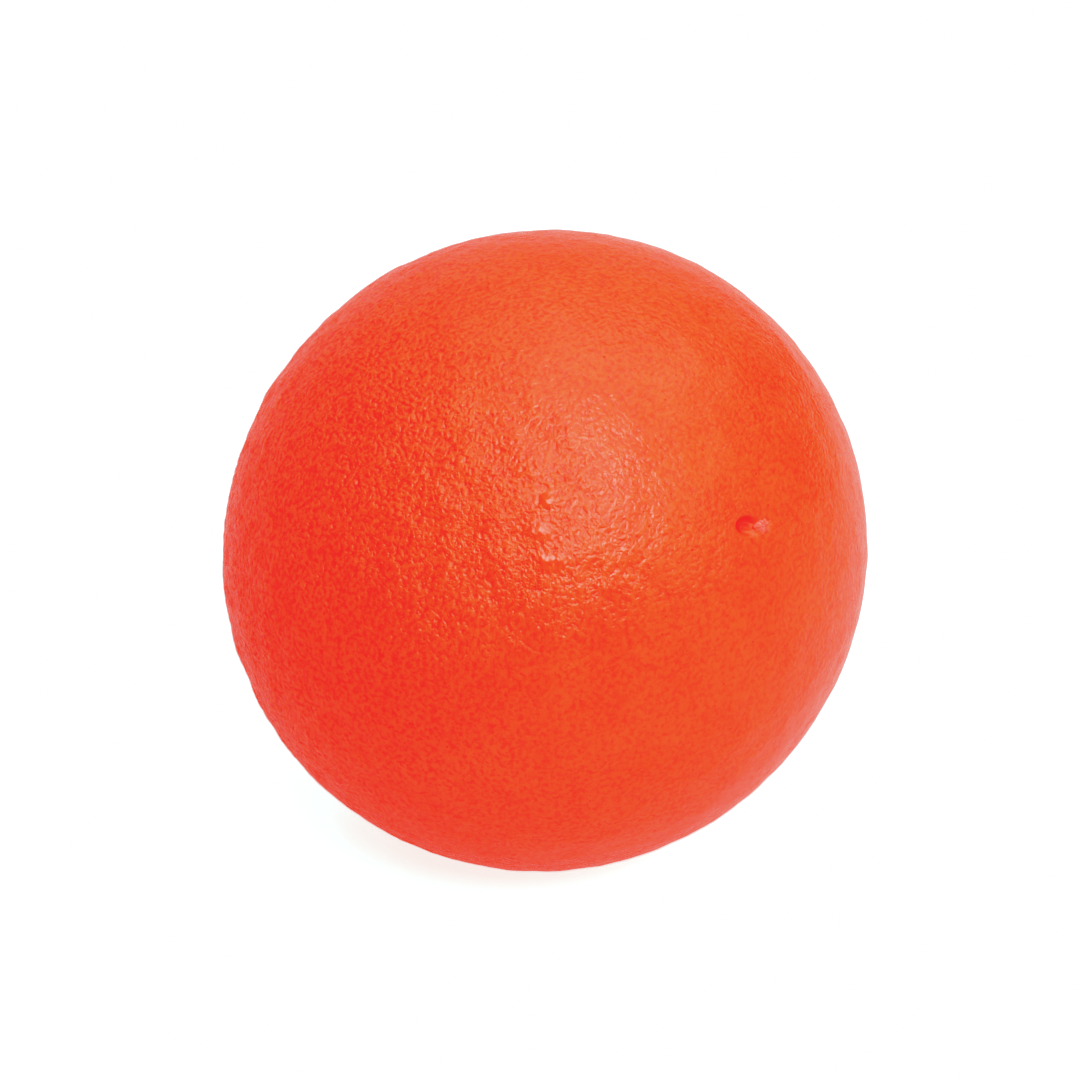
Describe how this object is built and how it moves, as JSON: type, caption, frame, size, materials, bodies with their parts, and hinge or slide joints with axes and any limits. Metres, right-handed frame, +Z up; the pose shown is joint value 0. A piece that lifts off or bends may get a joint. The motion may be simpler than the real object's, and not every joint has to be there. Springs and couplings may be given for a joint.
{
  "type": "stress ball",
  "caption": "Round squeezable foam ball with a thin textured rubbery skin and one small oval dimple; an upper half presses down and springs back.",
  "frame": {"origin": "centre of the ball", "axes": "+Z up, square to the mould's parting plane; -Y towards the side with the dimple; +X to the right seen from -Y"},
  "size_m": [0.07, 0.07, 0.07],
  "materials": {
    "foam": "open-cell foam",
    "skin": "satin, orange-peel",
    "plug": "satin"
  },
  "bodies": {
    "lower": {"foam_core": "foam", "skin_lower": "skin"},
    "upper": {"skin_upper": "skin", "seal_plug": "plug"}
  },
  "joints": [
    {"name": "squeeze", "type": "slide", "parent": "lower", "child": "upper", "axis": [0, 0, -1], "range_m": [0, 0.022], "stiffness_N_per_m": 3000, "deforming": ["foam_core", "skin_lower", "skin_upper"]}
  ]
}
